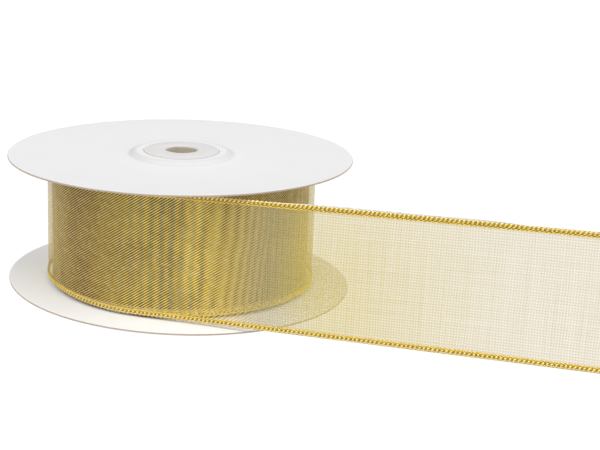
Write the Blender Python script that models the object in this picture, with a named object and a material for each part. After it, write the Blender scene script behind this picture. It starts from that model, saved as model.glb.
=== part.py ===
"""Ribbon spool: two paperboard flanges on a paper core, carrying a roll of sheer wire-edged
ribbon whose outermost turn runs off as a straight tail.

The spool stands on its bottom hub with its axis along +Z, and the tail leaves it along +X.
The origin is the bottom centre of the whole object's box, all lengths are in metres.
"""

import math

import bmesh
import bpy

# Driving dimensions
FLANGE_RADIUS = 0.0525
BOARD = 0.0005
RIBBON_WIDTH = 0.0380
RIBBON_CLEARANCE = 0.0005
ROLL_RADIUS = 0.0410
CORE_RADIUS = 0.0142
CORE_WALL = 0.0016
BOSS_RISE = 0.0010
BOSS_FOOT_RADIUS = 0.0163
HUB_RADIUS = 0.0115
HUB_STAND = 0.0005
HUB_SHOULDER = 0.0020
BORE_RADIUS = 0.00475
TAIL_LENGTH = 0.1380
TAIL_LEAN = 0.053  # how far the upper edge leans in, for each metre along the tail
WIRE_STICKS_OUT = 0.0020

# Build of the ribbon
WEB_THICKNESS = 0.0003
EDGING_THICKNESS = 0.0006
EDGING_WIDTH = 0.0014
WIRE_SIZE = 0.0004
TURN_PITCH = 0.0005
TURN_COVERS = 345.0  # degrees, so that the turn's inner end stays clear of the tail

# Clearance between neighbouring pieces, and the fineness of round shapes
GAP = 0.0003
ROUND = 96
ROUND_SMALL = 48

# Heights, counted up from the surface that the spool stands on
FLANGE_FOOT = HUB_STAND + BOSS_RISE
FLOOR_OF_ROLL = FLANGE_FOOT + BOARD
RIBBON_LOW = FLOOR_OF_ROLL + RIBBON_CLEARANCE
RIBBON_HIGH = RIBBON_LOW + RIBBON_WIDTH
ROOF_OF_ROLL = RIBBON_HIGH + RIBBON_CLEARANCE
SPOOL_MIDDLE = (FLOOR_OF_ROLL + ROOF_OF_ROLL) / 2

# The box runs from the flange's rim to the tips of the edge wires
AXIS_X = -(TAIL_LENGTH + WIRE_STICKS_OUT - FLANGE_RADIUS) / 2

WHITE_BOARD = ("white_board", (0.88, 0.88, 0.89), 0.62, 0.0)
KRAFT = ("kraft_paper", (0.56, 0.46, 0.32), 0.85, 0.0)
GOLD_GAUZE = ("gold_gauze", (0.66, 0.54, 0.22), 0.45, 0.35)
GOLD_THREAD = ("gold_thread", (0.83, 0.62, 0.13), 0.35, 0.6)
STEEL_WIRE = ("steel_wire", (0.70, 0.69, 0.71), 0.3, 1.0)


def clear_scene():
    for old in list(bpy.data.objects):
        bpy.data.objects.remove(old, do_unlink=True)


def material(look):
    name, colour, roughness, metallic = look
    made = bpy.data.materials.get(name)
    if made is None:
        made = bpy.data.materials.new(name)
        made.use_nodes = True
        shader = made.node_tree.nodes["Principled BSDF"]
        shader.inputs["Base Color"].default_value = (*colour, 1.0)
        shader.inputs["Roughness"].default_value = roughness
        shader.inputs["Metallic"].default_value = metallic
        made.diffuse_color = (*colour, 1.0)
    return made


def add_object(name, mesh, look):
    """Hangs a bmesh in the scene as one object with its origin on the spool's axis."""
    data = bpy.data.meshes.new(name)
    mesh.to_mesh(data)
    mesh.free()
    data.materials.append(material(look))
    data.shade_smooth()
    data.set_sharp_from_angle(angle=math.radians(35))
    made = bpy.data.objects.new(name, data)
    made.location.x = AXIS_X
    bpy.context.scene.collection.objects.link(made)
    return made


def turned(name, outline, segments, look):
    """A ring-shaped solid spun about the spool's axis from its (radius, height) outline."""
    mesh = bmesh.new()
    corners = [mesh.verts.new((r, 0.0, z)) for r, z in outline]
    edges = []
    for i, corner in enumerate(corners):
        edges.append(mesh.edges.new((corner, corners[(i + 1) % len(corners)])))
    bmesh.ops.spin(
        mesh,
        geom=edges,
        cent=(0.0, 0.0, 0.0),
        axis=(0.0, 0.0, 1.0),
        angle=2 * math.pi,
        steps=segments,
        use_merge=True,
    )
    bmesh.ops.recalc_face_normals(mesh, faces=mesh.faces)
    return add_object(name, mesh, look)


def mirrored(outline):
    """The same outline at the other end of the spool."""
    return [(r, 2 * SPOOL_MIDDLE - z) for r, z in reversed(outline)]


def flange_outline():
    """Bottom flange: a disc of board pressed down over the end of the core."""
    hole = HUB_RADIUS + GAP
    boss = CORE_RADIUS
    edge = 0.00015
    under = FLANGE_FOOT
    return [
        (hole, HUB_STAND),
        (boss, HUB_STAND),
        (boss + 0.0006, HUB_STAND + 0.2 * BOSS_RISE),
        (BOSS_FOOT_RADIUS - 0.0006, under - 0.2 * BOSS_RISE),
        (BOSS_FOOT_RADIUS, under),
        (FLANGE_RADIUS - edge, under),
        (FLANGE_RADIUS, under + edge),
        (FLANGE_RADIUS, under + BOARD - edge),
        (FLANGE_RADIUS - edge, under + BOARD),
        (BOSS_FOOT_RADIUS, under + BOARD),
        (BOSS_FOOT_RADIUS - 0.0006, under + BOARD - 0.2 * BOSS_RISE),
        (boss + 0.0006, HUB_STAND + BOARD + 0.2 * BOSS_RISE),
        (boss, HUB_STAND + BOARD),
        (hole, HUB_STAND + BOARD),
    ]


def hub_outline():
    """Bottom hub plug: its shoulder sits inside the core, its face stands out of the flange."""
    edge = 0.0002
    shoulder = CORE_RADIUS - CORE_WALL - GAP
    shoulder_low = HUB_STAND + BOARD + GAP
    return [
        (BORE_RADIUS, 0.0),
        (HUB_RADIUS - edge, 0.0),
        (HUB_RADIUS, edge),
        (HUB_RADIUS, shoulder_low),
        (shoulder, shoulder_low),
        (shoulder, shoulder_low + HUB_SHOULDER),
        (BORE_RADIUS, shoulder_low + HUB_SHOULDER),
    ]


def tube_outline(inner, outer, low, high):
    return [(inner, low), (outer, low), (outer, high), (inner, high)]


def make_spool():
    turned("bottom_flange", flange_outline(), ROUND, WHITE_BOARD)
    turned("top_flange", mirrored(flange_outline()), ROUND, WHITE_BOARD)
    turned("bottom_hub_plug", hub_outline(), ROUND_SMALL, WHITE_BOARD)
    turned("top_hub_plug", mirrored(hub_outline()), ROUND_SMALL, WHITE_BOARD)
    core_low = HUB_STAND + BOARD + GAP
    core_high = 2 * SPOOL_MIDDLE - core_low
    core = tube_outline(CORE_RADIUS - CORE_WALL, CORE_RADIUS, core_low, core_high)
    turned("core_tube", core, ROUND_SMALL, KRAFT)


def lower_levels():
    """Low and high edge of the lower wire and of the lower edging."""
    wire = (RIBBON_LOW, RIBBON_LOW + WIRE_SIZE)
    edging = (wire[1] + GAP, wire[1] + GAP + EDGING_WIDTH)
    return wire, edging


def upper(levels):
    return tuple(2 * SPOOL_MIDDLE - z for z in reversed(levels))


def make_wound_ribbon():
    """The turns that stay on the core, as one ring of gauze between two rings of edging."""
    inner = CORE_RADIUS + GAP
    outer = ROLL_RADIUS - EDGING_THICKNESS - TURN_PITCH - GAP
    edging = lower_levels()[1]
    edging_low = (RIBBON_LOW, edging[1])
    web = (edging[1] + GAP, 2 * SPOOL_MIDDLE - edging[1] - GAP)
    turned("wound_ribbon_web", tube_outline(inner, outer, *web), ROUND, GOLD_GAUZE)
    turned("wound_lower_edging", tube_outline(inner, outer, *edging_low), ROUND, GOLD_THREAD)
    upper_ring = tube_outline(inner, outer, *upper(edging_low))
    turned("wound_upper_edging", upper_ring, ROUND, GOLD_THREAD)


def turn_route():
    """Middle line of the outermost turn, seen from above: (x, y, distance along the tail)."""
    last = ROLL_RADIUS - EDGING_THICKNESS / 2
    covered = math.radians(TURN_COVERS)
    route = []
    for i in range(ROUND + 1):
        left_to_go = 1 - i / ROUND
        angle = -math.pi / 2 - covered * left_to_go
        radius = last - TURN_PITCH * left_to_go
        route.append((radius * math.cos(angle), radius * math.sin(angle), 0.0))
    return route


def tail_route(start, end):
    """Straight middle line of the tail's lower edge, in the same form as turn_route."""
    side = -(ROLL_RADIUS - EDGING_THICKNESS / 2)
    return [(start, side, start), (end, side, end)]


def standing_band(name, route, thickness, levels, look):
    """A band standing on its edge along a route: one sheet, then thickened.

    Along the tail the sheet leans in more and more, about its lower edge.
    """
    mesh = bmesh.new()
    rows = []
    for x, y, along in route:
        row = []
        for z in levels:
            leans = TAIL_LEAN * along * (z - RIBBON_LOW) / RIBBON_WIDTH
            row.append(mesh.verts.new((x, y + leans, z)))
        rows.append(row)
    for here, there in zip(rows, rows[1:]):
        mesh.faces.new((here[0], there[0], there[1], here[1]))
    made = add_object(name, mesh, look)
    thicken = made.modifiers.new("thicken", "SOLIDIFY")
    thicken.thickness = thickness
    thicken.offset = 0.0
    return made


def make_loose_ribbon():
    """The outermost turn and the tail, which come off the roll together."""
    wire, edging = lower_levels()
    web = (edging[1] + GAP, 2 * SPOOL_MIDDLE - edging[1] - GAP)
    turn = turn_route()
    standing_band("outer_turn_web", turn, WEB_THICKNESS, web, GOLD_GAUZE)
    standing_band("outer_turn_lower_edging", turn, EDGING_THICKNESS, edging, GOLD_THREAD)
    standing_band("outer_turn_upper_edging", turn, EDGING_THICKNESS, upper(edging), GOLD_THREAD)
    tail = tail_route(GAP, TAIL_LENGTH)
    standing_band("tail_web", tail, WEB_THICKNESS, web, GOLD_GAUZE)
    standing_band("tail_lower_edging", tail, EDGING_THICKNESS, edging, GOLD_THREAD)
    standing_band("tail_upper_edging", tail, EDGING_THICKNESS, upper(edging), GOLD_THREAD)
    whole = turn + tail_route(0.0, TAIL_LENGTH + WIRE_STICKS_OUT)[1:]
    standing_band("lower_edge_wire", whole, WIRE_SIZE, wire, STEEL_WIRE)
    standing_band("upper_edge_wire", whole, WIRE_SIZE, upper(wire), STEEL_WIRE)


clear_scene()
make_spool()
make_wound_ribbon()
make_loose_ribbon()
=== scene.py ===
"""Looks of the ribbon spool: white paperboard flanges and hubs, a kraft core, and a roll of
sheer metallic gauze with stitched, wired edges. Everything is in metres, in the CAD's frame."""

import math

import bmesh
import bpy
from mathutils import Matrix, Vector


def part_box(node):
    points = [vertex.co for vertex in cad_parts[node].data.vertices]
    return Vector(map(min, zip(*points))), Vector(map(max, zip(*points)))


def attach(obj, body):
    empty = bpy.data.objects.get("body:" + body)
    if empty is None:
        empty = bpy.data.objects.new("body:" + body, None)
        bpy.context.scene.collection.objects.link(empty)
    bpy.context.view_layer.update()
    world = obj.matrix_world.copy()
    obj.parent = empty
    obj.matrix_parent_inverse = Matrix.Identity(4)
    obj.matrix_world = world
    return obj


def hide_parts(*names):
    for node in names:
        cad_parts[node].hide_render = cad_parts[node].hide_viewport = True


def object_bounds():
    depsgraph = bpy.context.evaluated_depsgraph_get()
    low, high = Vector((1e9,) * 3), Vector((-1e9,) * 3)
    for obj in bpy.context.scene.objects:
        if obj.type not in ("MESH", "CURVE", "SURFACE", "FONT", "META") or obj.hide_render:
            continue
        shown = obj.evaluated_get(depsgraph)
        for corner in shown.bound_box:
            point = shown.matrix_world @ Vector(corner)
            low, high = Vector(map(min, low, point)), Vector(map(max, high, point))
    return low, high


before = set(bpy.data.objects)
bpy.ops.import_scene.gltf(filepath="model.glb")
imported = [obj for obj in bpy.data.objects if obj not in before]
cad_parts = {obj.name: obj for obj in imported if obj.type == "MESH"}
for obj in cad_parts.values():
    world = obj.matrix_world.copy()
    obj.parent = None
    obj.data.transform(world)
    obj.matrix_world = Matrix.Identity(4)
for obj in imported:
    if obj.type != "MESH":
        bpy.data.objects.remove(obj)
cad_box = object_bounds()

# The spool, from the CAD's boxes
flange_low, flange_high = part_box("top_flange")
lower_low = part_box("bottom_flange")[0]
hub_low, hub_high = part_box("top_hub_plug")
core_low, core_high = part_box("core_tube")
roll_low, roll_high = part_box("wound_ribbon_web")
tail_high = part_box("tail_web")[1]
wire_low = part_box("lower_edge_wire")[0]
top_wire_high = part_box("upper_edge_wire")[1]

AXIS_X = (flange_low[0] + flange_high[0]) / 2
FLANGE_RADIUS = (flange_high[0] - flange_low[0]) / 2
CORE_RADIUS = (core_high[0] - core_low[0]) / 2
ROLL_RADIUS = (roll_high[0] - roll_low[0]) / 2
MIDDLE_Z = (lower_low[2] + flange_high[2]) / 2
RIBBON_LOW = wire_low[2]
RIBBON_HIGH = top_wire_high[2]
RIBBON_WIDTH = RIBBON_HIGH - RIBBON_LOW
TAIL_LENGTH = tail_high[0] - AXIS_X

# Paperboard
BOARD = 0.0005
CUT_EDGE = 0.00009
BOSS_RISE = flange_high[2] - flange_low[2] - BOARD
BOSS_FOOT_RADIUS = 0.0163
BOSS_STEPS = 8
FLANGE_SEGMENTS = 240
FLANGE_RINGS = (0.3, 0.5, 0.7, 0.85)
UPPER_WARP, UPPER_WARP_TOWARDS = 0.0009, math.radians(-70)
LOWER_WARP, LOWER_WARP_TOWARDS = 0.0012, math.radians(199)
HUB_RADIUS = 0.0115
HUB_PLATEAU_RADIUS = 0.0086
HUB_SLOPE = 0.00040
HUB_SLOPE_STEPS = 6
HUB_LIP = 0.00080
HUB_LIP_STEPS = 5
HUB_GAP = 0.00012
HUB_SEGMENTS = 144
GLUE_GAP = 0.0002
BORE_RADIUS = 0.00475
CORE_WALL = 0.0016

# Outermost turn: TURN_RADIUS where the tail leaves it, one TURN_PITCH less at its start
TURN_RADIUS = 0.0407
TURN_PITCH = 0.00048
TURN_COVERS = math.radians(360)
TURN_START = -TURN_COVERS * (TURN_RADIUS - TURN_PITCH / 2)
TURN_RAISES_LOWER_EDGE = 0.0012
TURN_RAISES_UPPER_EDGE = 0.0004
TURN_RAISE_EASE = 7.0
BULGE = 0.0009
BULGE_AT = math.radians(20)
BULGE_WIDTH = math.radians(50)

# Tail
TAIL_LEAN = 0.053
TAIL_SIDE = -TURN_RADIUS
TAIL_SETTLES = 0.02
RIPPLE = 0.00045
RIPPLE_RATE = 62.0
RIPPLE_PHASE = 0.9
CREASE = 0.0005
CREASE_AT = 0.56
CREASE_WIDTH = 0.07
CREASE_ENDS = 0.095
CREASE_FADE = 0.05

# Turns left on the core
ROLL_INNER = CORE_RADIUS + 0.0003
ROLL_OUTER = TURN_RADIUS - TURN_PITCH - 0.0006
ROLL_TURNS = int((ROLL_OUTER - ROLL_INNER) / TURN_PITCH)
ROLL_SEGMENTS = 96
ROLL_EDGE_FILLS = 0.68
ROLL_EDGE_ROUND = 0.0003
ROLL_EDGE_BEAD = 0.00006

# Stitched and wired edges
EDGING_MARGIN = 0.00016
EDGING_WIDTH = 0.0020
WEB_INSET = EDGING_WIDTH - 0.0006
GAUZE_STEP_ALONG = 0.0015
GAUZE_STEP_UP = 0.0022
STITCH_PITCH = 0.00126
STITCH_THREAD = 0.00033
STITCH_FLATNESS = 0.68
STITCH_HEIGHT = 0.00142
STITCH_DEPTH = 0.00017
STITCH_STEPS = 14
STITCH_WANDER = 0.00012
CHAIN_STRAND = 0.00015
CHAIN_STEPS = 8
GROUND_HALF = 0.00010
WIRE_RADIUS = 0.00014
WIRE_STICKS_OUT = 0.0018
WIRE_DEPTH = 0.00062
WIRE_WAVER = 0.00005
WIRE_WAVER_RATE = 171.0
WIRE_SLIPS = 0.00052
WIRE_SLIPS_FROM = 0.034
WIRE_SLIPS_TO = 0.118
WIRE_SLIPS_EASE = 0.02

# Weave: threads of one layer, and rows and bands where layers lie on each other.
# The layers fall in and out of step BEATS times in each turn, all round the roll; where they
# are in step the gold is painted brighter, a painted reflection, and brown and olive between.
THREAD_PITCH = 0.00076
DASH_PITCH = 0.00074
DASHES = 0.28
ROW_ALONG = 0.00118
ROW_UP = 0.00080
ROW_SWAY = 500.0
BEATS = 4
# Where the layers are in step and the painted reflection is brightest
IN_STEP_AND_REFLECTION_AT = math.radians(-72)
ROLL_BANDS = 82
ROLL_BANDED = 0.62
ROLL_SWAY = 0.0016
ROLL_CLOUDED = 0.45
SHEER_BAND_PITCH = 0.00305
SHEER_BANDED = 0.7
SHEER_SWAY = THREAD_PITCH * 1.5
SHEER_CLOUDED = 0.6
CLOUD_SCALE = 75.0
FILAMENT_PITCH = 0.00018

# Cover of the sheer gauze, as shares of 1
COVER = 0.46
# Extra cover near the roll, part of the painted golden light and sheen
COVER_NEAR = 0.17
COVER_MOST = 0.97
SLACK = 0.20
TAIL_GRID = 0.42
TURN_GRID = 0.2
TURN_ROWS = 2.6
GLINTS = 0.22

# Stretches along the loose ribbon over which one of its looks comes in, from none to all of it
TURN_APPEARS = (TURN_START + 0.001, TURN_START + 0.040)
DOUBLE_GAUZE = (0.046, 0.020)
BANDED_GAUZE = (0.036, 0.018)
LEAVING_GAUZE = (0.060, 0.034)
# The last stretch brings in painted golden light and sheen near the roll
GOLD_LIGHT_GAUZE = (0.120, 0.052)

# Stretch up the loose ribbon over which the painted golden light and sheen come in, and how
# much of it is above
GOLD_LIGHT_BELOW = (0.036, 0.016)
GOLD_LIGHT_ABOVE = 0.7

# Colours
# The lower flange's board is painted lighter than the upper one's, as painted light that makes up
# for the shade under the upper flange
UPPER_BOARD = (0.73, 0.73, 0.735)
LOWER_BOARD_PAINTED_LIGHT = (0.88, 0.885, 0.90)
HUB_BOARD = (0.64, 0.63, 0.625)
# Share by which painted shade greys the slope of the boss
BOSS_SLOPE_SHADE = 0.13
BOARD_MOTTLE = 0.965
BOARD_EDGE = ((0.56, 0.45, 0.36), (0.30, 0.24, 0.19))
HUB_RAW = ((0.62, 0.56, 0.44), (0.40, 0.35, 0.25))
KRAFT = ((0.40, 0.31, 0.20), (0.58, 0.47, 0.33))
SHEER_TURN = (0.95, 0.70, 0.12)
SHEER_BROWN = (0.50, 0.34, 0.08)
SHEER_OLIVE = (0.38, 0.34, 0.16)
SHEER_LEAVING_ROLL = (0.37, 0.33, 0.18)
SHEER_GLINT = (1.0, 0.90, 0.55)
# Yellower gauze near the roll: painted golden light and sheen
SHEER_TAIL_NEAR = (0.515, 0.395, 0.03)
SHEER_TAIL_FAR = (0.47, 0.37, 0.14)
PACK_BRIGHT = (0.40, 0.25, 0.03)
PACK_BROWN = (0.13, 0.08, 0.02)
PACK_OLIVE = (0.15, 0.135, 0.07)
# Painted shade in the holes of the packed weave, where the deeper layers lie in shade
PACK_HOLE_SHADE = (0.012, 0.010, 0.004)
STITCHES = ((1.0, 0.78, 0.20), (0.60, 0.40, 0.07))
# The ground between the stitches: partly its own duller thread, partly painted shade
STITCH_GROUND_SHADED = ((0.42, 0.29, 0.07), (0.22, 0.14, 0.03))
# Painted shade on the edges of the wound turns: dark grey thread and tan wire
PACKED_THREAD_SHADE = ((0.06, 0.055, 0.045), (0.02, 0.02, 0.02))
PACKED_WIRE_SHADE = ((0.62, 0.52, 0.34), (0.35, 0.28, 0.17))
BRIGHT_WIRE = (0.72, 0.71, 0.73)

# Camera, placed from the spool's axis
CAMERA_TURN = math.radians(19.35)
CAMERA_AWAY = 0.4786
CAMERA_UP = 0.1579
CAMERA_YAW = math.radians(4.44)
CAMERA_PITCH = math.radians(16.11)
CAMERA_ROLL = math.radians(2.06)
CAMERA_LENS = 96.1

# Light: each source as its name, the direction towards it and its strength
WORLD_LIGHT = 0.36
LIGHT_SPREAD = math.radians(45)
LIGHTS = [
    ("left", (-0.5, -0.6, 0.85), 1.75),
    ("right", (0.6, -0.45, 0.85), 1.42),
    ("behind", (0.85, 0.55, 0.6), 1.0),
]
FLOOR_HALF = 4.0
FLOOR_BELOW = 0.00005


# ---------------------------------------------------------------- camera, light and floor


def make_camera():
    """The photograph's view, turned and placed from the spool's axis."""
    turn = Matrix.Rotation(CAMERA_TURN, 3, "Z")
    place = Vector((AXIS_X, 0.0, 0.0)) + turn @ Vector((0.0, -CAMERA_AWAY, CAMERA_UP))
    level = math.cos(CAMERA_PITCH)
    forward = Vector(
        (math.sin(CAMERA_YAW) * level, math.cos(CAMERA_YAW) * level, -math.sin(CAMERA_PITCH))
    )
    forward = turn @ forward
    right = forward.cross(Vector((0.0, 0.0, 1.0))).normalized()
    up = right.cross(forward)
    rolled_right = right * math.cos(CAMERA_ROLL) + up * math.sin(CAMERA_ROLL)
    rolled_up = up * math.cos(CAMERA_ROLL) - right * math.sin(CAMERA_ROLL)
    data = bpy.data.cameras.new("camera")
    data.lens = CAMERA_LENS
    data.sensor_width = 36.0
    data.clip_start = 0.01
    camera = bpy.data.objects.new("camera", data)
    axes = Matrix((rolled_right, rolled_up, -forward)).transposed()
    camera.matrix_world = Matrix.Translation(place) @ axes.to_4x4()
    bpy.context.scene.collection.objects.link(camera)
    bpy.context.scene.camera = camera


def make_world():
    world = bpy.data.worlds.new("studio")
    world.use_nodes = True
    world.node_tree.nodes["Background"].inputs["Color"].default_value = (1.0, 1.0, 1.0, 1.0)
    world.node_tree.nodes["Background"].inputs["Strength"].default_value = WORLD_LIGHT
    bpy.context.scene.world = world
    bpy.context.scene.view_settings.view_transform = "Standard"


def make_light(name, towards_light, strength):
    """A large soft source far away."""
    data = bpy.data.lights.new(name, "SUN")
    data.angle = LIGHT_SPREAD
    data.energy = strength
    light = bpy.data.objects.new(name, data)
    light.rotation_euler = Vector(towards_light).to_track_quat("Z", "Y").to_euler()
    bpy.context.scene.collection.objects.link(light)


def make_floor():
    """A pale sheet that glows a little, so that it stays white under every light."""
    mesh = bmesh.new()
    bmesh.ops.create_grid(mesh, x_segments=1, y_segments=1, size=FLOOR_HALF)
    data = bpy.data.meshes.new("floor")
    mesh.to_mesh(data)
    mesh.free()
    floor = bpy.data.objects.new("floor", data)
    floor.location.z = cad_box[0][2] - FLOOR_BELOW
    bpy.context.scene.collection.objects.link(floor)
    look, tree, shader = new_material("pale_floor", (0.05, 0.05, 0.05), 0.9)
    shader.inputs["Specular IOR Level"].default_value = 0.0
    shader.inputs["Emission Color"].default_value = (1.0, 1.0, 1.0, 1.0)
    shader.inputs["Emission Strength"].default_value = 1.0
    data.materials.append(look)


# ---------------------------------------------------------------- shader helpers


def new_material(name, colour, roughness, metallic=0.0):
    look = bpy.data.materials.new(name)
    look.use_nodes = True
    tree = look.node_tree
    shader = tree.nodes["Principled BSDF"]
    shader.inputs["Base Color"].default_value = (*colour, 1.0)
    shader.inputs["Roughness"].default_value = roughness
    shader.inputs["Metallic"].default_value = metallic
    return look, tree, shader


def plug_in(tree, socket, value):
    if isinstance(value, bpy.types.NodeSocket):
        tree.links.new(value, socket)
    else:
        socket.default_value = value


def maths(tree, operation, *values):
    node = tree.nodes.new("ShaderNodeMath")
    node.operation = operation
    for socket, value in zip(node.inputs, values):
        plug_in(tree, socket, value)
    return node.outputs[0]


def product(tree, first, second):
    return maths(tree, "MULTIPLY", first, second)


def total(tree, first, second):
    return maths(tree, "ADD", first, second)


def scaled(tree, value, times, plus):
    return maths(tree, "MULTIPLY_ADD", value, times, plus)


def blend(tree, share, low, high):
    """A number between low and high."""
    rest = maths(tree, "SUBTRACT", 1.0, share)
    return total(tree, product(tree, low, rest), product(tree, high, share))


def mixed(tree, share, low, high):
    """A colour between low and high, each of them a colour or a socket."""
    node = tree.nodes.new("ShaderNodeMix")
    node.data_type = "RGBA"
    plug_in(tree, node.inputs["Factor"], share)
    colours = [socket for socket in node.inputs if socket.type == "RGBA"]
    for socket, value in zip(colours, (low, high)):
        is_socket = isinstance(value, bpy.types.NodeSocket)
        plug_in(tree, socket, value if is_socket else (*value, 1.0))
    return [socket for socket in node.outputs if socket.type == "RGBA"][0]


def ramp(tree, where, start, end):
    """0 at start, 1 at end, smooth between; start may lie above end."""
    node = tree.nodes.new("ShaderNodeMapRange")
    node.interpolation_type = "SMOOTHSTEP"
    node.inputs["From Min"].default_value = start
    node.inputs["From Max"].default_value = end
    tree.links.new(where, node.inputs["Value"])
    return node.outputs["Result"]


def wave(tree, where, pitch):
    """From 1 to 0 and back in each pitch."""
    angle = product(tree, where, 2 * math.pi / pitch)
    return scaled(tree, maths(tree, "COSINE", angle), 0.5, 0.5)


def noise(tree, where, scale, detail=2.0):
    node = tree.nodes.new("ShaderNodeTexNoise")
    node.inputs["Scale"].default_value = scale
    node.inputs["Detail"].default_value = detail
    tree.links.new(where, node.inputs["Vector"])
    return node.outputs["Fac"]


def stretched_noise(tree, where, scales, scale=1.0, detail=2.0):
    stretch = tree.nodes.new("ShaderNodeMapping")
    stretch.inputs["Scale"].default_value = scales
    tree.links.new(where, stretch.inputs["Vector"])
    return noise(tree, stretch.outputs["Vector"], scale, detail)


def own_number(tree, first, second, first_size, second_size):
    """A number from 0 to 1 of its own for each small patch."""
    patch = tree.nodes.new("ShaderNodeCombineXYZ")
    column = maths(tree, "FLOOR", maths(tree, "DIVIDE", first, first_size))
    tree.links.new(column, patch.inputs["X"])
    row = maths(tree, "FLOOR", maths(tree, "DIVIDE", second, second_size))
    tree.links.new(row, patch.inputs["Y"])
    own = tree.nodes.new("ShaderNodeTexWhiteNoise")
    own.noise_dimensions = "2D"
    tree.links.new(patch.outputs["Vector"], own.inputs["Vector"])
    return own.outputs["Value"]


def bumped(tree, shader, height, distance, strength):
    node = tree.nodes.new("ShaderNodeBump")
    node.inputs["Strength"].default_value = strength
    node.inputs["Distance"].default_value = distance
    tree.links.new(height, node.inputs["Height"])
    tree.links.new(node.outputs["Normal"], shader.inputs["Normal"])


def object_place(tree):
    return tree.nodes.new("ShaderNodeTexCoord").outputs["Object"]


def place_about_axis(tree, place):
    """X and Y counted from the spool's axis."""
    parts = tree.nodes.new("ShaderNodeSeparateXYZ")
    tree.links.new(place, parts.inputs["Vector"])
    return maths(tree, "SUBTRACT", parts.outputs["X"], AXIS_X), parts.outputs["Y"]


def from_axis(tree, place):
    """Distance from the spool's axis."""
    x, y = place_about_axis(tree, place)
    return maths(tree, "SQRT", scaled(tree, y, y, product(tree, x, x)))


def around_axis(tree, place):
    """Angle round the spool's axis."""
    x, y = place_about_axis(tree, place)
    return maths(tree, "ARCTAN2", y, x)


def turn_wave(tree, angle, times, peak_at):
    """From 0 to 1 and back so many times in each turn, with one of its peaks at peak_at."""
    phase = product(tree, maths(tree, "SUBTRACT", angle, peak_at), float(times))
    return scaled(tree, maths(tree, "COSINE", phase), 0.5, 0.5)


def ribbon_place(tree):
    """Distance along the ribbon and height across it, in metres, and both as one vector."""
    uv = tree.nodes.new("ShaderNodeUVMap")
    parts = tree.nodes.new("ShaderNodeSeparateXYZ")
    tree.links.new(uv.outputs["UV"], parts.inputs["Vector"])
    return parts.outputs["X"], parts.outputs["Y"], uv.outputs["UV"]


def slanted_rows(tree, along, up, sway):
    """Rows of dashes that climb along the ribbon, as where two weaves lie on each other."""
    columns = maths(tree, "DIVIDE", along, ROW_ALONG)
    steps = maths(tree, "SUBTRACT", columns, maths(tree, "DIVIDE", up, ROW_UP))
    return wave(tree, total(tree, steps, product(tree, sway, ROW_SWAY)), 1.0)


# ---------------------------------------------------------------- materials of the spool


def board_material(name, colour, slope_shade=0.0):
    """White-lined board: fibre mottle and a very fine tooth, with painted shade greying the slope
    of the boss over the end of the core."""
    look, tree, shader = new_material(name, colour, 0.6)
    place = object_place(tree)
    darker = tuple(BOARD_MOTTLE * part for part in colour)
    board = mixed(tree, noise(tree, place, 90.0, 4.0), darker, colour)
    # Painted shade: the slope of the boss over the end of the core is made greyer
    if slope_shade:
        away = from_axis(tree, place)
        begins = ramp(tree, away, CORE_RADIUS - 0.0008, CORE_RADIUS)
        ends = ramp(tree, away, BOSS_FOOT_RADIUS + 0.0007, BOSS_FOOT_RADIUS - 0.0004)
        grey = tuple((1.0 - slope_shade) * part for part in colour)
        board = mixed(tree, product(tree, begins, ends), board, grey)
    tree.links.new(board, shader.inputs["Base Color"])
    bumped(tree, shader, noise(tree, place, 2600.0), 0.00002, 0.5)
    return look


def raw_board_material(name, light, dark):
    """Cut edge of the board: pressed layers of grey-brown fibre."""
    look, tree, shader = new_material(name, light, 0.9)
    fibre = stretched_noise(tree, object_place(tree), (1.0, 1.0, 12.0), 900.0, 3.0)
    tree.links.new(mixed(tree, fibre, dark, light), shader.inputs["Base Color"])
    bumped(tree, shader, fibre, 0.00004, 0.6)
    return look


def kraft_material(dark, light):
    """Kraft paper with fibre mottle."""
    look, tree, shader = new_material("kraft_core", light, 0.85)
    fibre = noise(tree, object_place(tree), 700.0, 5.0)
    tree.links.new(mixed(tree, fibre, dark, light), shader.inputs["Base Color"])
    bumped(tree, shader, fibre, 0.00006, 0.5)
    return look


# ---------------------------------------------------------------- materials of the ribbon


def sheer_cover(tree, along, up, both, sway, near, on_turn):
    """How much the threads of the open plain weave hide, from 0 to 1."""
    weft = wave(tree, total(tree, along, sway), THREAD_PITCH)
    warp = wave(tree, up, THREAD_PITCH)
    either = maths(tree, "SUBTRACT", total(tree, weft, warp), product(tree, weft, warp))
    grid = scaled(tree, either, 1.0, -0.75)
    rows = scaled(tree, slanted_rows(tree, along, up, sway), 1.0, -0.5)
    tail_weave = product(tree, grid, TAIL_GRID)
    turn_weave = blend(tree, TURN_GRID, product(tree, rows, TURN_ROWS), grid)
    weave = blend(tree, on_turn, tail_weave, turn_weave)
    # Thicker cover near the roll as painted golden light and sheen
    level = scaled(tree, near, COVER_NEAR, COVER)
    drawn_out = stretched_noise(tree, both, (35.0, 1500.0, 1.0))
    drawn_across = stretched_noise(tree, both, (1100.0, 30.0, 1.0))
    slack = total(tree, drawn_out, drawn_across)
    cover = total(tree, total(tree, weave, level), scaled(tree, slack, SLACK, -SLACK))
    clamp = tree.nodes.new("ShaderNodeClamp")
    tree.links.new(cover, clamp.inputs["Value"])
    clamp.inputs["Max"].default_value = COVER_MOST
    return clamp.outputs["Result"]


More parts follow.
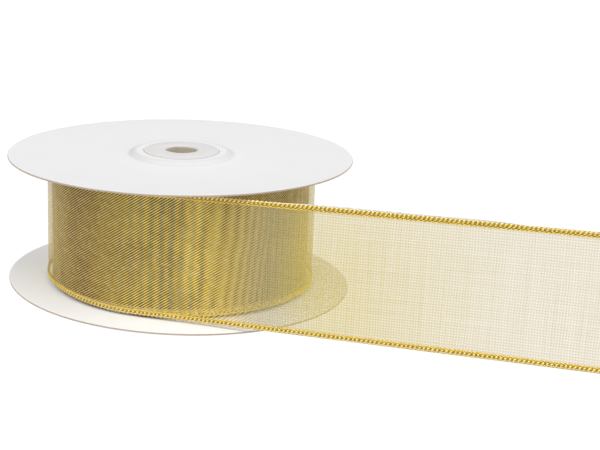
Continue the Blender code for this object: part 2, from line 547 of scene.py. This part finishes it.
def sheer_colour(tree, along, up, sway, near, on_turn):
    """The metal of the threads: gold in bands on the turn, painted brighter where the layers are
    in step as painted reflection, paler along the tail, yellower near the roll as painted golden
    light and sheen.
    """
    cloud = ramp(tree, noise(tree, object_place(tree), CLOUD_SCALE, 3.0), 0.40, 0.72)
    bands = wave(tree, total(tree, along, product(tree, sway, 1.3)), SHEER_BAND_PITCH)
    from_beat = maths(tree, "SUBTRACT", along, TURN_RADIUS * (IN_STEP_AND_REFLECTION_AT + math.pi / 2))
    # Painted reflection: the turn's gold is painted bright where the layers are in step, brown
    # between
    in_step_and_reflection = wave(tree, from_beat, 2 * math.pi * TURN_RADIUS / BEATS)
    turn = mixed(tree, in_step_and_reflection, SHEER_BROWN, SHEER_TURN)
    turn = mixed(tree, product(tree, cloud, SHEER_CLOUDED), turn, SHEER_BROWN)
    # Yellower near the roll as painted golden light and sheen
    tail = mixed(tree, near, SHEER_TAIL_FAR, SHEER_TAIL_NEAR)
    tail = mixed(tree, ramp(tree, along, *LEAVING_GAUZE), tail, SHEER_LEAVING_ROLL)
    metal = mixed(tree, on_turn, tail, turn)
    banded = product(tree, in_step_and_reflection, ramp(tree, along, *BANDED_GAUZE))
    banded = product(tree, product(tree, bands, banded), SHEER_BANDED)
    metal = mixed(tree, banded, metal, SHEER_OLIVE)
    glint = product(tree, own_number(tree, along, up, ROW_ALONG, ROW_UP), on_turn)
    metal = mixed(tree, product(tree, maths(tree, "POWER", glint, 3.0), GLINTS), metal, SHEER_GLINT)
    dull = product(tree, own_number(tree, up, along, ROW_UP, ROW_ALONG), on_turn)
    return mixed(tree, product(tree, maths(tree, "POWER", dull, 3.0), GLINTS), metal, PACK_BROWN)


def sheer_material():
    """Open plain weave: the holes are clear, the metallic threads part of the way."""
    look, tree, shader = new_material("sheer_gauze", SHEER_TAIL_FAR, 0.45)
    along, up, both = ribbon_place(tree)
    sway = product(tree, noise(tree, both, 60.0), SHEER_SWAY)
    # Painted golden light and sheen near the roll, strongest low on the ribbon
    lower_part = blend(tree, ramp(tree, up, *GOLD_LIGHT_BELOW), GOLD_LIGHT_ABOVE, 1.0)
    near = product(tree, ramp(tree, along, *GOLD_LIGHT_GAUZE), lower_part)
    on_turn = ramp(tree, along, *DOUBLE_GAUZE)
    cover = sheer_cover(tree, along, up, both, sway, near, on_turn)
    appears = ramp(tree, along, *TURN_APPEARS)
    tree.links.new(product(tree, cover, appears), shader.inputs["Alpha"])
    metal = sheer_colour(tree, along, up, sway, near, on_turn)
    tree.links.new(metal, shader.inputs["Base Color"])
    tree.links.new(product(tree, on_turn, 0.5), shader.inputs["Metallic"])
    return look


def packed_material():
    """Many layers of the weave on top of each other: twill-like rows of bright dashes and dark
    holes, the holes painted dark as shade in the deeper layers, with upright bands where the
    layers fall in and out of step, and painted reflection: brighter gold where they are in step."""
    look, tree, shader = new_material("packed_gauze", PACK_BRIGHT, 0.42, 0.45)
    along, up, both = ribbon_place(tree)
    place = object_place(tree)
    sway = product(tree, noise(tree, both, 70.0), ROLL_SWAY)
    rows = slanted_rows(tree, along, up, sway)
    dashes = wave(tree, total(tree, along, sway), DASH_PITCH)
    weave = ramp(tree, blend(tree, DASHES, rows, dashes), 0.15, 0.85)
    angle = around_axis(tree, place)
    arc = product(tree, angle, ROLL_RADIUS)
    band_pitch = 2 * math.pi * ROLL_RADIUS / ROLL_BANDS
    bands = wave(tree, total(tree, arc, product(tree, sway, 1.6)), band_pitch)
    # Painted reflection: bright gold where the layers are in step, brown and olive between
    in_step_and_reflection = turn_wave(tree, angle, BEATS, IN_STEP_AND_REFLECTION_AT)
    away_from_reflection = maths(tree, "SUBTRACT", 1.0, in_step_and_reflection)
    browner = turn_wave(tree, angle, BEATS / 2, IN_STEP_AND_REFLECTION_AT - math.pi / BEATS)
    bright = mixed(tree, away_from_reflection, PACK_BRIGHT, mixed(tree, browner, PACK_OLIVE, PACK_BROWN))
    banded = product(tree, product(tree, bands, in_step_and_reflection), ROLL_BANDED)
    bright = mixed(tree, banded, bright, PACK_OLIVE)
    cloud = ramp(tree, noise(tree, place, CLOUD_SCALE, 3.0), 0.35, 0.75)
    bright = mixed(tree, product(tree, cloud, ROLL_CLOUDED), bright, PACK_BROWN)
    # The holes between the bright dashes are painted near black, as painted shade of the deeper
    # layers
    tree.links.new(mixed(tree, weave, PACK_HOLE_SHADE, bright), shader.inputs["Base Color"])
    shader.inputs["Sheen Weight"].default_value = 0.06
    shader.inputs["Sheen Roughness"].default_value = 0.35
    shader.inputs["Sheen Tint"].default_value = (1.0, 0.95, 0.8, 1.0)
    bumped(tree, shader, weave, 0.00012, 0.7)
    return look


def metal_thread_material(name, light, dark):
    """Metallic embroidery thread: fine bright filaments, darker in patches along them."""
    look, tree, shader = new_material(name, light, 0.3, 0.8)
    along, round_thread, both = ribbon_place(tree)
    lines = wave(tree, total(tree, along, product(tree, round_thread, 0.0004)), FILAMENT_PITCH)
    patches = noise(tree, object_place(tree), 900.0, 3.0)
    share = product(tree, patches, scaled(tree, lines, 0.5, 0.5))
    tree.links.new(mixed(tree, share, light, dark), shader.inputs["Base Color"])
    bumped(tree, shader, lines, 0.00003, 0.5)
    return look


def plain_thread_material(name, light, dark):
    """The ground under the stitches: closely packed thread, darker than the stitches, partly as its
    own duller thread and partly as painted shade between the stitches.
    """
    look, tree, shader = new_material(name, light, 0.6, 0.3)
    fibre = noise(tree, object_place(tree), 2200.0, 3.0)
    tree.links.new(mixed(tree, fibre, light, dark), shader.inputs["Base Color"])
    bumped(tree, shader, fibre, 0.00004, 0.6)
    return look


def packed_edges_material():
    """Edges of the wound turns in painted shade: their gold thread painted dark grey, with the
    wires at the very edge a shaded tan, brighter than the thread.
    """
    look, tree, shader = new_material("packed_edges", PACKED_THREAD_SHADE[0], 0.6, 0.2)
    from_middle = ribbon_place(tree)[1]
    fibre = noise(tree, object_place(tree), 2200.0, 3.0)
    thread = mixed(tree, fibre, *PACKED_THREAD_SHADE)
    bare = mixed(tree, fibre, *PACKED_WIRE_SHADE)
    at_edge = ramp(tree, maths(tree, "ABSOLUTE", from_middle), 0.00062, 0.00080)
    tree.links.new(mixed(tree, at_edge, thread, bare), shader.inputs["Base Color"])
    bumped(tree, shader, fibre, 0.00004, 0.6)
    return look


def wire_material():
    look, tree, shader = new_material("bright_wire", BRIGHT_WIRE, 0.28, 1.0)
    bumped(tree, shader, noise(tree, object_place(tree), 3000.0), 0.00001, 0.4)
    return look


# ---------------------------------------------------------------- mesh helpers


def smooth(share):
    """Eases a share from 0 to 1."""
    share = max(0.0, min(1.0, share))
    return share * share * (3 - 2 * share)


def spaced(start, end, step):
    count = max(1, round((end - start) / step))
    return [start + (end - start) * i / count for i in range(count + 1)]


def about_axis(radius, angle, z):
    return AXIS_X + radius * math.cos(angle), radius * math.sin(angle), z


def add_piece(name, points, faces, looks, uvs=None, face_looks=None, body="spool"):
    data = bpy.data.meshes.new(name)
    data.from_pydata(points, [], faces)
    for look in looks:
        data.materials.append(look)
    if uvs is not None:
        layer = data.uv_layers.new(name="UVMap")
        for corner, loop in enumerate(data.loops):
            layer.data[corner].uv = uvs[loop.vertex_index]
    if face_looks is not None:
        data.polygons.foreach_set("material_index", face_looks)
    data.shade_smooth()
    piece = bpy.data.objects.new(name, data)
    bpy.context.scene.collection.objects.link(piece)
    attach(piece, body)
    return piece


def turned(name, outline, segments, looks, outline_looks, bend=None):
    """A ring turned about the spool's axis; bend(angle, radius) lifts its points."""
    points = []
    faces = []
    face_looks = []
    count = len(outline)
    for i in range(segments):
        angle = 2 * math.pi * i / segments
        here = i * count
        there = ((i + 1) % segments) * count
        for r, z in outline:
            lift = bend(angle, r) if bend else 0.0
            points.append(about_axis(r, angle, z + lift))
        for j in range(count):
            k = (j + 1) % count
            faces.append((here + j, there + j, there + k, here + k))
            face_looks.append(outline_looks[j])
    piece = add_piece(name, points, faces, looks, face_looks=face_looks)
    piece.data.set_sharp_from_angle(angle=math.radians(40))
    return piece


def over(outline):
    """The same outline at the other end of the spool."""
    return [(r, 2 * MIDDLE_Z - z) for r, z in outline]


def swept(sections):
    """Points and faces of a closed tube through rings of points."""
    sides = len(sections[0])
    points = [point for ring in sections for point in ring]
    faces = []
    for i in range(len(sections) - 1):
        here = i * sides
        there = here + sides
        for j in range(sides):
            k = (j + 1) % sides
            faces.append((here + j, here + k, there + k, there + j))
    faces.append(tuple(reversed(range(sides))))
    last = (len(sections) - 1) * sides
    faces.append(tuple(range(last, last + sides)))
    return points, faces


def sheet_of(rows_along, rows_up, place_at):
    """Points, faces and coordinates of a sheet laid out in rows."""
    points = []
    uvs = []
    for along in rows_along:
        for up in rows_up:
            points.append(place_at(along, up))
            uvs.append((along, up))
    across = len(rows_up)
    faces = []
    for i in range(len(rows_along) - 1):
        for j in range(across - 1):
            here = i * across + j
            faces.append((here, here + across, here + across + 1, here + 1))
    return points, faces, uvs


def thread_along(centres, radius, sides, flatness=1.0):
    """A thread through centres, each of them a point and the direction that faces outwards.

    flatness is its thickness outwards over its width.
    """
    sections = []
    for i, (centre, outward) in enumerate(centres):
        before = centres[max(i - 1, 0)][0]
        after = centres[min(i + 1, len(centres) - 1)][0]
        tangent = (after - before).normalized()
        side = tangent.cross(outward).normalized()
        other = side.cross(tangent)
        ring = []
        for j in range(sides):
            angle = 2 * math.pi * j / sides
            spoke = side * math.cos(angle) + other * math.sin(angle) * flatness
            ring.append(centre + spoke * radius)
        sections.append(ring)
    return swept(sections)


# ---------------------------------------------------------------- paperboard


def flange_outline():
    """Lower flange from its hole out to its rim and back, with softened cut edges."""
    hole = HUB_RADIUS + HUB_GAP
    under = lower_low[2] + BOSS_RISE
    under_side = [(hole, lower_low[2]), (CORE_RADIUS - 0.0004, lower_low[2])]
    for i in range(BOSS_STEPS + 1):
        share = i / BOSS_STEPS
        rise = BOSS_RISE * (1 - math.cos(math.pi * share)) / 2
        radius = CORE_RADIUS + share * (BOSS_FOOT_RADIUS - CORE_RADIUS)
        under_side.append((radius, lower_low[2] + rise))
    for share in FLANGE_RINGS:
        radius = BOSS_FOOT_RADIUS + share * (FLANGE_RADIUS - BOSS_FOOT_RADIUS)
        under_side.append((radius, under))
    rim = [
        (FLANGE_RADIUS - CUT_EDGE, under),
        (FLANGE_RADIUS, under + CUT_EDGE),
        (FLANGE_RADIUS, under + BOARD - CUT_EDGE),
        (FLANGE_RADIUS - CUT_EDGE, under + BOARD),
    ]
    upper_side = [(r, z + BOARD) for r, z in reversed(under_side)]
    return under_side + rim + upper_side


def warp(amount, towards):
    """A board that has warped a little towards its rim."""

    def lift(angle, radius):
        return amount * math.cos(angle - towards) * (radius / FLANGE_RADIUS) ** 4

    return lift


def cut_looks(outline, is_cut):
    """1 for each side of an outline that is cut board, 0 for each that is its white face."""
    looks = []
    for here, there in zip(outline, outline[1:] + outline[:1]):
        looks.append(1 if is_cut(here, there) else 0)
    return looks


def flange_is_cut(here, there):
    at_rim = min(here[0], there[0]) > FLANGE_RADIUS - 2 * CUT_EDGE
    at_hole = max(here[0], there[0]) < HUB_RADIUS + 2 * HUB_GAP
    return at_rim or at_hole


def make_flanges():
    upper_face = board_material("white_board", UPPER_BOARD, BOSS_SLOPE_SHADE)
    # Painted light: the lower flange's white is lighter, to make up for the shade under the upper
    # flange
    lower_face = board_material("white_board_lower_painted_light", LOWER_BOARD_PAINTED_LIGHT, BOSS_SLOPE_SHADE)
    edge = raw_board_material("board_edge", *BOARD_EDGE)
    outline = flange_outline()
    looks = cut_looks(outline, flange_is_cut)
    lower_warp = warp(LOWER_WARP, LOWER_WARP_TOWARDS)
    upper_warp = warp(UPPER_WARP, UPPER_WARP_TOWARDS)
    lower = turned("lower_flange", outline, FLANGE_SEGMENTS, [lower_face, edge], looks, lower_warp)
    upper = turned(
        "upper_flange", over(outline), FLANGE_SEGMENTS, [upper_face, edge], looks, upper_warp
    )
    upper.data.flip_normals()
    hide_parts("bottom_flange")
    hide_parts("top_flange")


def inside_of_boss():
    """Height of the lower hub plug's shoulder, just inside the flange."""
    return lower_low[2] + BOARD + GLUE_GAP


def hub_outline():
    """Lower hub plug: a flat middle that falls off to its rim, rolled over into the bore."""
    face = 2 * MIDDLE_Z - hub_high[2]
    inner = 2 * MIDDLE_Z - hub_low[2]
    shoulder = CORE_RADIUS - CORE_WALL - GLUE_GAP
    outline = []
    for i in range(HUB_LIP_STEPS + 1):
        angle = math.pi / 2 * i / HUB_LIP_STEPS
        radius = BORE_RADIUS + HUB_LIP * (1 - math.cos(angle))
        outline.append((radius, face + HUB_LIP * (1 - math.sin(angle))))
    for i in range(HUB_SLOPE_STEPS + 1):
        share = i / HUB_SLOPE_STEPS
        radius = HUB_PLATEAU_RADIUS + (HUB_RADIUS - HUB_PLATEAU_RADIUS) * share
        outline.append((radius, face + HUB_SLOPE * smooth(share)))
    outline += [(HUB_RADIUS, inside_of_boss()), (shoulder, inside_of_boss())]
    outline += [(shoulder, inner), (BORE_RADIUS, inner)]
    return outline


def hub_is_cut(here, there):
    in_bore = max(here[0], there[0]) < BORE_RADIUS + 0.00005
    inside = min(here[1], there[1]) > inside_of_boss() - 0.00001
    return in_bore or inside


def make_hubs():
    face = board_material("hub_face", HUB_BOARD)
    raw = raw_board_material("hub_raw", *HUB_RAW)
    outline = hub_outline()
    looks = cut_looks(outline, hub_is_cut)
    lower = turned("lower_hub", outline, HUB_SEGMENTS, [face, raw], looks)
    upper = turned("upper_hub", over(outline), HUB_SEGMENTS, [face, raw], looks)
    upper.data.flip_normals()
    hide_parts("bottom_hub_plug")
    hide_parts("top_hub_plug")


def make_core():
    low, high = core_low[2], core_high[2]
    inner = CORE_RADIUS - CORE_WALL
    outline = [(inner, low), (CORE_RADIUS, low), (CORE_RADIUS, high), (inner, high)]
    core = turned("paper_core", outline, HUB_SEGMENTS, [kraft_material(*KRAFT)], [0, 0, 0, 0])
    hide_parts("core_tube")


# ---------------------------------------------------------------- course of the loose ribbon


def bulge(angle):
    """How far the loose turn stands off the roll at its slack side."""
    off = math.remainder(angle - BULGE_AT, 2 * math.pi) / BULGE_WIDTH
    return BULGE * math.exp(-off * off)


def turn_point(along, up, out):
    """Point on the outermost turn, which is raised a little halfway before the tail leaves."""
    height = up / RIBBON_WIDTH
    share = along / TURN_START
    angle = -math.pi / 2 - TURN_COVERS * share
    radius = TURN_RADIUS - TURN_PITCH * share
    radius += bulge(angle) + out
    eased = smooth(TURN_RAISE_EASE * share) * smooth(TURN_RAISE_EASE * (0.5 - share))
    raised = TURN_RAISES_LOWER_EDGE * (1 - height) + TURN_RAISES_UPPER_EDGE * height
    return Vector(about_axis(radius, angle, RIBBON_LOW + up + raised * eased))


def tail_point(along, up, out):
    """Point on the tail, which leans in, ripples and has a crease near the roll."""
    height = up / RIBBON_WIDTH
    lean = TAIL_LEAN * along * height
    settled = min(along / TAIL_SETTLES, 1.0)
    wave_along = math.sin(along * RIPPLE_RATE + RIPPLE_PHASE)
    ripple = RIPPLE * math.sin(math.pi * height) * settled * wave_along
    fades = max(0.0, min(1.0, (CREASE_ENDS - along) / CREASE_FADE))
    across = math.exp(-(((height - CREASE_AT) / CREASE_WIDTH) ** 2))
    crease = CREASE * settled * across * fades
    return Vector((AXIS_X + along, TAIL_SIDE + lean + ripple - crease - out, RIBBON_LOW + up))


def ribbon_at(along, up, out=0.0):
    """Point on the loose ribbon, out metres in front of it.

    along is counted from where the tail leaves the roll, up from the ribbon's lower edge.
    """
    if along <= 0.0:
        return turn_point(along, up, out)
    return tail_point(along, up, out)


def line_point(along, up, out=0.0):
    """A point of the loose ribbon with the direction that faces outwards there."""
    outward = ribbon_at(along, up, 0.001) - ribbon_at(along, up)
    return ribbon_at(along, up, out), outward.normalized()


def from_edge(depth, upper):
    """Height of a line that runs depth inside one edge of the ribbon."""
    return RIBBON_WIDTH - depth if upper else depth


# ---------------------------------------------------------------- loose ribbon


def make_gauze(sheer):
    """The web of the outermost turn and of the tail, as one sheet."""
    turn = spaced(TURN_START, 0.0, GAUZE_STEP_ALONG)
    tail = spaced(0.0, TAIL_LENGTH, GAUZE_STEP_ALONG)[1:]
    up = spaced(WEB_INSET, RIBBON_WIDTH - WEB_INSET, GAUZE_STEP_UP)
    points, faces, uvs = sheet_of(turn + tail, up, ribbon_at)
    gauze = add_piece("loose_gauze", points, faces, [sheer], uvs, body="loose_ribbon")
    gauze.visible_shadow = False
    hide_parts("outer_turn_web", "tail_web")
    return gauze


def overlock_centres(upper):
    """The thread that winds round the ribbon's edge, as a flattened coil."""
    stitches = round((TAIL_LENGTH - TURN_START) / STITCH_PITCH)
    middle = EDGING_MARGIN + STITCH_HEIGHT / 2
    reach = STITCH_HEIGHT / 2 - STITCH_THREAD
    centres = []
    for i in range(stitches * STITCH_STEPS + 1):
        turns = i / STITCH_STEPS
        angle = 2 * math.pi * turns
        along = TURN_START + STITCH_PITCH * turns
        along += STITCH_WANDER * math.sin(7.3 * turns) * math.sin(0.61 * turns)
        depth = middle + reach * math.cos(angle)
        out = STITCH_DEPTH * math.sin(angle) * (1 if upper else -1)
        centres.append(line_point(along, from_edge(depth, upper), out))
    return centres


def chain_centres(strand, upper):
    """One of the two strands of the chain along the inner side of the stitches."""
    middle = EDGING_MARGIN + STITCH_HEIGHT + CHAIN_STRAND
    centres = []
    for along in spaced(TURN_START, TAIL_LENGTH, STITCH_PITCH / CHAIN_STEPS):
        angle = 2 * math.pi * (along / STITCH_PITCH / 2 + strand / 2)
        depth = middle + CHAIN_STRAND * math.cos(angle)
        out = CHAIN_STRAND * math.sin(angle)
        centres.append(line_point(along, from_edge(depth, upper), out))
    return centres


def ground_sections(upper):
    """The folded edge under the stitches."""
    low, high = EDGING_MARGIN + 0.00022, EDGING_WIDTH - 0.00020
    corners = ((low, -GROUND_HALF), (low, GROUND_HALF), (high, GROUND_HALF), (high, -GROUND_HALF))
    sections = []
    for along in spaced(TURN_START, TAIL_LENGTH - 0.0002, GAUZE_STEP_ALONG):
        sections.append([ribbon_at(along, from_edge(depth, upper), out) for depth, out in corners])
    return sections


def make_edging(name, upper, looks, nodes):
    """Overlock stitching on its ground, with a chain along its inner side."""
    overlock = thread_along(overlock_centres(upper), STITCH_THREAD, 8, STITCH_FLATNESS)
    parts = [(overlock, 0)]
    for strand in range(2):
        parts.append((thread_along(chain_centres(strand, upper), CHAIN_STRAND, 6), 0))
    parts.append((swept(ground_sections(upper)), 1))
    points = []
    faces = []
    face_looks = []
    for (part_points, part_faces), look in parts:
        start = len(points)
        points += part_points
        faces += [tuple(start + i for i in face) for face in part_faces]
        face_looks += [look] * len(part_faces)
    uvs = [(point[0] + point[1], point[2]) for point in points]
    edging = add_piece(name, points, faces, looks, uvs, face_looks, "loose_ribbon")
    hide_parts(*nodes)
    return edging


def slipped_out(along):
    """Share by which the upper wire has slipped out of its stitches."""
    begins = smooth((along - WIRE_SLIPS_FROM) / WIRE_SLIPS_EASE)
    return begins * smooth((WIRE_SLIPS_TO - along) / WIRE_SLIPS_EASE)


def make_wire(name, upper, look, node):
    """The wire inside the stitched edge. Along part of the upper edge it has slipped out."""
    centres = []
    for along in spaced(TURN_START, TAIL_LENGTH + WIRE_STICKS_OUT, 0.001):
        depth = WIRE_DEPTH + WIRE_WAVER * math.sin(along * WIRE_WAVER_RATE)
        if upper:
            depth -= WIRE_SLIPS * slipped_out(along)
        centres.append(line_point(along, from_edge(depth, upper)))
    points, faces = thread_along(centres, WIRE_RADIUS, 8)
    wire = add_piece(name, points, faces, [look], body="loose_ribbon")
    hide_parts(node)
    return wire


# ---------------------------------------------------------------- ribbon left on the core


def roll_rows():
    """The wound turns as (angle, radius, distance along), from the core outwards."""
    rows = []
    along = 0.0
    count = ROLL_TURNS * ROLL_SEGMENTS
    for i in range(count + 1):
        angle = math.pi / 2 + 2 * math.pi * i / ROLL_SEGMENTS
        radius = ROLL_INNER + (ROLL_OUTER - ROLL_INNER) * i / count
        rows.append((angle, radius, along))
        along += radius * 2 * math.pi / ROLL_SEGMENTS
    return rows


def make_roll(look):
    """All the turns left on the core; gives the piece and the length of its ribbon."""
    rows = roll_rows()
    points = []
    uvs = []
    for angle, radius, along in rows:
        for z in (RIBBON_LOW + WEB_INSET, RIBBON_HIGH - WEB_INSET):
            points.append(about_axis(radius, angle, z))
            uvs.append((along, z))
    faces = []
    for i in range(len(rows) - 1):
        faces.append((2 * i, 2 * i + 2, 2 * i + 3, 2 * i + 1))
    roll = add_piece("roll_gauze", points, faces, [look], uvs)
    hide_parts("wound_ribbon_web")
    return roll, rows[-1][2]


def make_roll_edging(name, upper, look, node):
    """The stitched edges of the wound turns, seen end on as a close spiral."""
    depth = EDGING_WIDTH + 0.0002
    low = RIBBON_HIGH - depth if upper else RIBBON_LOW
    high = RIBBON_HIGH if upper else RIBBON_LOW + depth
    middle = (low + high) / 2
    half = TURN_PITCH * ROLL_EDGE_FILLS / 2
    sections = []
    uvs = []
    for i, (angle, radius, along) in enumerate(roll_rows()):
        bead = ROLL_EDGE_BEAD * math.sin(2.4 * i)
        ring = [
            (radius - half, low + ROLL_EDGE_ROUND),
            (radius, low + bead),
            (radius + half, low + ROLL_EDGE_ROUND),
            (radius + half, high - ROLL_EDGE_ROUND),
            (radius, high + bead),
            (radius - half, high - ROLL_EDGE_ROUND),
        ]
        sections.append([about_axis(r, angle, z) for r, z in ring])
        uvs += [(along, z - middle) for r, z in ring]
    points, faces = swept(sections)
    edging = add_piece(name, points, faces, [look], uvs)
    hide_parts(node)
    return edging


def make_ribbon():
    stitches = metal_thread_material("gold_stitches", *STITCHES)
    ground = plain_thread_material("stitch_ground_shaded", *STITCH_GROUND_SHADED)
    packed_edges = packed_edges_material()
    wire = wire_material()
    roll, roll_length = make_roll(packed_material())
    roll_edges = [
        make_roll_edging("roll_lower_edging", False, packed_edges, "wound_lower_edging"),
        make_roll_edging("roll_upper_edging", True, packed_edges, "wound_upper_edging"),
    ]
    gauze = make_gauze(sheer_material())
    lower_nodes = ("outer_turn_lower_edging", "tail_lower_edging")
    upper_nodes = ("outer_turn_upper_edging", "tail_upper_edging")
    edges = [
        make_edging("loose_lower_edging", False, [stitches, ground], lower_nodes),
        make_edging("loose_upper_edging", True, [stitches, ground], upper_nodes),
        make_wire("lower_wire", False, wire, "lower_edge_wire"),
        make_wire("upper_wire", True, wire, "upper_edge_wire"),
    ]


make_camera()
make_world()
make_floor()
for light_name, towards, strength in LIGHTS:
    make_light(light_name, towards, strength)
make_flanges()
make_hubs()
make_core()
make_ribbon()
